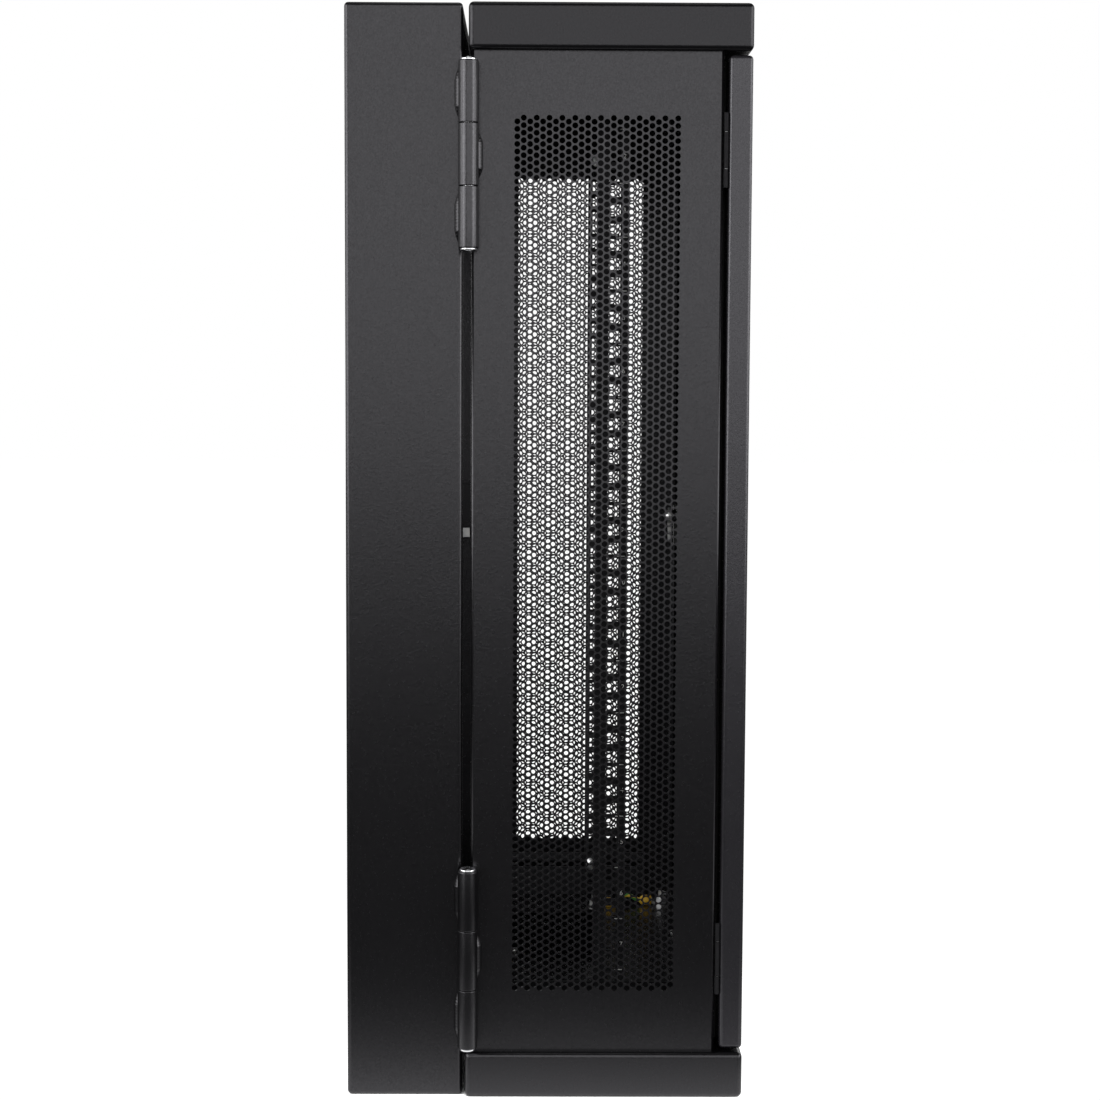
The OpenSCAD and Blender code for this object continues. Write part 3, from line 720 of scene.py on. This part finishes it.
def wall_frame():
    """The frame on the wall and the two plates across its back, with four holes to the wall."""
    low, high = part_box("wall_frame")
    middle = (low.z + high.z) / 2
    flange = WALL_FLANGE
    front = [rectangle((low.x + flange, low.z + flange), (high.x - flange, high.z - flange))]
    mounts = frame["record"]["mounts"]
    pattern = next(m for m in mounts if m["name"] == "wall_bolts")["dims"]
    step_x, step_z = pattern["spacing_x_mm"] * MM, pattern["spacing_y_mm"] * MM
    plate_low, plate_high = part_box("lower_wall_plate")
    window_low = (plate_low.x, plate_high.z)
    window_high = (plate_high.x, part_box("upper_wall_plate")[0].z)
    back = [round_rectangle(window_low, window_high, 3 * MM)]
    for x in (-1, 1):
        for z in (-1, 1):
            place = (x * step_x / 2, middle + z * step_z / 2)
            back.append(polygon_at(place, pattern["hole_r_mm"] * MM, 32))
    cover_low, cover_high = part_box("wall_top_cover")
    edge = Vector((12 * MM, 12 * MM, 0))
    entry = [round_rectangle((cover_low + edge)[:2], (cover_high - edge)[:2], 4 * MM)]
    lock_y, lock_z = JOINTS["swing_lock_turn"]["pos_m"][1:]
    side = [polygon_at((lock_y, lock_z), SWING_LOCK_HOLE, 32)]
    cuts = {"-y": front, "+y": back, "+z": entry, "-z": entry, "+x": side}
    shell = skin_box("wall_frame_shell", "wall_frame", low, high, WALL_BEND, SHEET, cuts)
    for plate in ("lower_wall_plate", "upper_wall_plate"):
        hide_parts(plate)


def door():
    """The door's frame, bent from one sheet, and its hexagonal mesh."""
    low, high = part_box("door_frame")
    mesh_low, mesh_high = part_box("door_mesh")
    lap = MESH_LAP
    window = rectangle((mesh_low.x + lap, mesh_low.z + lap), (mesh_high.x - lap, mesh_high.z - lap))
    lock_x, _, lock_z = JOINTS["door_lock_turn"]["pos_m"]
    front = [window, polygon_at((lock_x, lock_z), DOOR_LOCK_HOLE, 48)]
    flange = DOOR_FLANGE
    rear = [rectangle((low.x + flange, low.z + flange), (high.x - flange, high.z - flange))]
    cuts = {"-y": front, "+y": rear}
    skin_box("door_frame_shell", "door_frame", low, high, DOOR_BEND, SHEET, cuts, finish=DOOR_POWDER)
    outline = rectangle((mesh_low.x, mesh_low.z), (mesh_high.x, mesh_high.z))
    margin = lap + MESH_MARGIN
    inner = ((mesh_low.x + margin, mesh_low.z + margin), (mesh_high.x - margin, mesh_high.z - margin))
    flat_sheet("door_hex_mesh", "door_mesh", outline, mesh_holes(*inner), mesh_low.y, MESH_SHEET)


# ---------------------------------------------------------------- swing hinges

HINGE = JOINTS["cabinet_swing"]["pos_m"]
BARREL_RADIUS = 8.2 * MM
BORE_RADIUS = 5.0 * MM
FREE_EASE = 1.3 * MM
MEETING_EASE = 0.7 * MM
KNUCKLE_GAP = 0.35 * MM
PIN_RADIUS = 4.95 * MM
DOME_RADIUS = 6.8 * MM
DOME_RISE = 3.2 * MM
DOME_STEPS = 10


def arc_points(centre, radius, start, end, steps):
    """Points on an arc of a lathe profile, from one angle in degrees to another."""
    angles = [math.radians(start + (end - start) * k / steps) for k in range(steps + 1)]
    return [(centre[0] + radius * math.cos(a), centre[1] + radius * math.sin(a)) for a in angles]


def knuckle_mesh(low, high, low_ease, high_ease):
    """A tube round the swing hinge's axis, its outer rims rounded by the given radii."""
    outer = BARREL_RADIUS
    profile = [(BORE_RADIUS, high), (BORE_RADIUS, low)]
    profile += arc_points((outer - low_ease, low + low_ease), low_ease, -90, 0, 6)
    profile += arc_points((outer - high_ease, high - high_ease), high_ease, 0, 90, 6)
    profile.append(profile[0])
    return lathe(profile, HINGE[:2], 64)


def knuckles():
    """The knuckles of both swing hinges. Free ends are rounder than the ends that meet."""
    free, meeting, gap = FREE_EASE, MEETING_EASE, KNUCKLE_GAP
    for hinge in ("upper", "lower"):
        low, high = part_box(hinge + "_outer_knuckles")
        middle_low, middle_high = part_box(hinge + "_middle_knuckle")
        outer = [
            knuckle_mesh(low.z, middle_low.z - gap, free, meeting),
            knuckle_mesh(middle_high.z + gap, high.z, meeting, free),
        ]
        middle = [knuckle_mesh(middle_low.z, middle_high.z, meeting, meeting)]
        for node, parts in ((hinge + "_outer_knuckles", outer), (hinge + "_middle_knuckle", middle)):
            piece = make_piece(node + "_turned", *joined(parts), node, [SATIN_POWDER])
            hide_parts(node)


def dome_points(end, outward):
    """Half outline of a pin's domed head, from its crown at the pin's end out to its rim."""
    root = end - outward * DOME_RISE
    points = [(0, end)]
    for k in range(1, DOME_STEPS + 1):
        tilt = math.pi / 2 * k / DOME_STEPS
        rise = DOME_RISE * (0.2 + 0.8 * math.cos(tilt))
        points.append((DOME_RADIUS * math.sin(tilt), root + outward * rise))
    points.append((DOME_RADIUS, root))
    return points


def pins():
    """The swing hinges' chrome pins, with a polished dome at each end."""
    for hinge in ("upper", "lower"):
        node = hinge + "_hinge_pin"
        low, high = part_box(node)
        shaft = [(PIN_RADIUS, low.z + DOME_RISE), (PIN_RADIUS, high.z - DOME_RISE)]
        profile = dome_points(low.z, -1) + shaft + dome_points(high.z, 1)[::-1]
        points, faces = lathe(profile, HINGE[:2], 48)
        piece = make_piece(node + "_polished", points, faces, node)
        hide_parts(node)


WELD_TOE = 11.6 * MM
WELD_CREST = (6.0 * MM, 8.0 * MM)
WELD_ROOT_DEPTH = 2.5 * MM
WELD_TAPER = 11 * MM
WELD_RIPPLE = 2.7 * MM
WELD_MARGIN = 4 * MM
WELD_ROWS = 120
WELD_STEPS = 8


def weld_bead(low, high, root, side):
    """A rippled fillet weld from a knuckle down to a side face, tapering at its ends."""
    face_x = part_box("wall_frame")[0].x
    toe = np.array((face_x, HINGE[1] + side * WELD_TOE))
    crest = np.array((face_x - WELD_CREST[0], HINGE[1] + side * WELD_CREST[1]))
    base = np.array((face_x, root))
    middle = base + (toe - base) * 0.25
    outward = np.array((-0.55, side * 0.83))
    points = []
    for row in range(WELD_ROWS + 1):
        z = low + (high - low) * row / WELD_ROWS
        nearest_end = min(z - low, high - z) + 0.4 * MM
        size = math.sqrt(max(0.05, min(1.0, nearest_end / WELD_TAPER)))
        ripple = abs(math.sin(math.pi * (z - low) / WELD_RIPPLE))
        for step in range(WELD_STEPS + 1):
            t = step / WELD_STEPS
            swell = math.sin(math.pi * t) * (0.85 + 0.2 * ripple) * MM
            place = crest + (toe - crest) * t + outward * swell
            place = middle + (place - middle) * size
            points.append((min(place[0], face_x), place[1], z))
        points.append((face_x, root, z))
        points.append((face_x - WELD_ROOT_DEPTH, root, z))
    ring = WELD_STEPS + 3
    faces = [list(face) for face in ring_faces(WELD_ROWS, ring)]
    faces.append(list(range(ring)))
    faces.append([WELD_ROWS * ring + k for k in reversed(range(ring))])
    if side > 0:
        faces = [face[::-1] for face in faces]
    return points, faces


def welds():
    """The beads that hold the outer knuckles to the wall frame and the middle ones to the body."""
    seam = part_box("wall_frame")[0].y
    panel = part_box("left_side_panel")[1].y
    margin = WELD_MARGIN
    wall, body = [], []
    for hinge in ("upper", "lower"):
        low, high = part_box(hinge + "_outer_knuckles")
        middle_low, middle_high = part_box(hinge + "_middle_knuckle")
        wall.append(weld_bead(low.z + margin, middle_low.z - margin, seam, 1))
        wall.append(weld_bead(middle_high.z + margin, high.z - margin, seam, 1))
        body.append(weld_bead(middle_low.z + margin, middle_high.z - margin, panel, -1))
    for node, beads in (("wall_hinge_welds", wall), ("cabinet_hinge_welds", body)):
        piece = make_piece(node + "_bead", *joined(beads), node, [SATIN_POWDER])
        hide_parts(node)


# ---------------------------------------------------------------- printed rail scale

RAIL_UNIT = 44.45 * MM
RAIL_FIRST = 49.3 * MM
PRINT_THICKNESS = 0.03 * MM
LINE_ENDS = (-66.4 * MM, -59.6 * MM)
LINE_HALF_WIDTH = 0.35 * MM
NUMBER_Y = -63.9 * MM
NUMBER_SIZE = 5.6 * MM


def text_mesh(body, size):
    """Points and faces of a centred line of text in the XY plane."""
    curve = bpy.data.curves.new("number", "FONT")
    curve.body = body
    curve.size = size
    curve.align_x = "CENTER"
    curve.align_y = "CENTER"
    curve.resolution_u = 3
    text = bpy.data.objects.new("number", curve)
    mesh = text.to_mesh()
    points = [tuple(v.co[:2]) for v in mesh.vertices]
    faces = [tuple(face.vertices) for face in mesh.polygons]
    text.to_mesh_clear()
    bpy.data.objects.remove(text)
    bpy.data.curves.remove(curve)
    return points, faces


def rail_print():
    """Unit lines and unit numbers on the outer face of each rail, counted from the top."""
    units = round((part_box("left_rail")[1].z - RAIL_FIRST) / RAIL_UNIT - 0.1)
    for side, node in ((-1, "left_rail"), (1, "right_rail")):
        low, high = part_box(node)
        face_x = (low.x if side < 0 else high.x) + side * PRINT_THICKNESS
        ring = (3, 2, 1, 0) if side < 0 else (0, 1, 2, 3)
        parts = []
        for unit in range(units + 1):
            z = RAIL_FIRST + unit * RAIL_UNIT
            line = rectangle((LINE_ENDS[0], z - LINE_HALF_WIDTH), (LINE_ENDS[1], z + LINE_HALF_WIDTH))
            parts.append(([(face_x, *corner) for corner in line], [ring]))
            if unit < units:
                flat, faces = text_mesh(str(units - unit), NUMBER_SIZE)
                middle = z + RAIL_UNIT / 2
                parts.append(([(face_x, NUMBER_Y + side * a, middle + b) for a, b in flat], faces))
        piece = make_piece(node + "_print", *joined(parts), node, [INK])
        film = piece.modifiers.new("film", "SOLIDIFY")
        film.thickness = PRINT_THICKNESS
        film.offset = 0


# ---------------------------------------------------------------- ground lead

LEAD_RADIUS = 2.3 * MM
# Points of the lead's middle line, in millimetres
LEAD_ROUTE = [
    (200, -109, 43), (200, -105, 43), (199.8, -101, 44.2), (199.3, -97, 46.4), (198.6, -93, 48.4),
    (197.8, -89, 48.8), (197, -85, 47.2), (196.3, -81.5, 44.2), (196, -78.5, 41.8), (196, -76, 41),
    (196, -74, 41),
]


def smooth_route(route, steps):
    """A curve through a route's points, with this many spans between neighbours."""
    points = [np.array(p) * MM for p in route]
    points = [2 * points[0] - points[1], *points, 2 * points[-1] - points[-2]]
    curve = []
    for i in range(1, len(points) - 2):
        before, a, b, after = points[i - 1 : i + 3]
        for k in range(steps):
            t = k / steps
            bend = 2 * a + (b - before) * t + (2 * before - 5 * a + 4 * b - after) * t**2
            curve.append((bend + (3 * a - before - 3 * b + after) * t**3) / 2)
    curve.append(points[-2])
    return curve


def tube_mesh(curve, radii, sides):
    """Points and faces of a tube along a curve, with a radius for each of its points."""
    points = []
    up = np.array((0.0, 0.0, 1.0))
    for i, place in enumerate(curve):
        along = curve[min(i + 1, len(curve) - 1)] - curve[max(i - 1, 0)]
        along /= np.linalg.norm(along)
        across = np.cross(along, up)
        across /= np.linalg.norm(across)
        lift = np.cross(across, along)
        for k in range(sides):
            angle = 2 * math.pi * k / sides
            points.append(place + radii[i] * (math.cos(angle) * across + math.sin(angle) * lift))
    faces = ring_faces(len(curve) - 1, sides)
    faces.append(tuple(reversed(range(sides))))
    faces.append(tuple((len(curve) - 1) * sides + k for k in range(sides)))
    return points, faces


def ground_lead():
    """The earth lead: green insulation with two yellow stripes that wind slowly round it."""
    sides = 24
    curve = smooth_route(LEAD_ROUTE, 10)
    points, faces = tube_mesh(curve, [LEAD_RADIUS * 0.98] * len(curve), sides)
    stripes = []
    for index in range(len(faces) - 2):
        row, k = divmod(index, sides)
        stripes.append(1 if (k - row // 4) % (sides // 2) < 5 else 0)
    stripes += [0, 0]
    colours = [GREEN_PVC, YELLOW_PVC]
    lead = make_piece("ground_lead_cable", points, faces, "ground_lead", colours, stripes)
    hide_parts("ground_lead")


# Stations along a sleeve: distance from the lead's end and radius, in millimetres
SLEEVE_STATIONS = ((-7.6, 3.6), (-7.3, 4.6), (-5, 5.4), (0.8, 5.4), (2.6, 4.6), (4.4, 3.2), (4.8, 2.45))


def lug_sleeves():
    """Yellow insulating sleeves over the lugs' barrels and the lead's ends."""
    for name, ends in (("front", LEAD_ROUTE[:2]), ("rear", LEAD_ROUTE[:-3:-1])):
        start, onward = (np.array(p) * MM for p in ends)
        along = (onward - start) / np.linalg.norm(onward - start)
        curve = [start + along * s * MM for s, _ in SLEEVE_STATIONS]
        points, faces = tube_mesh(curve, [r * MM for _, r in SLEEVE_STATIONS], 28)
        make_piece(name + "_lug_sleeve", points, faces, "ground_lugs", [SLEEVE])


# ---------------------------------------------------------------- build

make_camera()
make_world()
side_panels()
caps()
wall_frame()
door()
knuckles()
pins()
welds()
rail_print()
ground_lead()
lug_sleeves()
eased("door_gasket", 1.6 * MM, 4)
eased("swing_bumpers", 0.9 * MM, 3)
eased("door_lock_body", 0.5 * MM, 3)
eased("swing_lock_body", 0.5 * MM, 3)
EDGE_EASE = 0.25 * MM
RAIL_PARTS = ["left_rail", "right_rail", "left_rail_brackets", "right_rail_brackets", "swing_keeper"]
LEAVES = [end + "_hinge_" + leaf for end in ("upper", "lower") for leaf in ("frame_leaf", "door_leaf")]
for inner in RAIL_PARTS + LEAVES:
    eased(inner, EDGE_EASE, finish=DULL_POWDER)

# Every CAD node that nothing above has replaced
for node in NODES:
    if not NODES[node].hide_render:
        eased(node, EDGE_EASE)


def make_floor():
    """A wide pale floor under the cabinet."""
    bpy.ops.mesh.primitive_plane_add(size=24, location=(0, 0, 0))
    floor = bpy.context.object
    floor.name = "floor"
    floor.data.materials.append(floor_paint())


make_floor()
make_lights()
bpy.context.scene.view_settings.view_transform = "Standard"
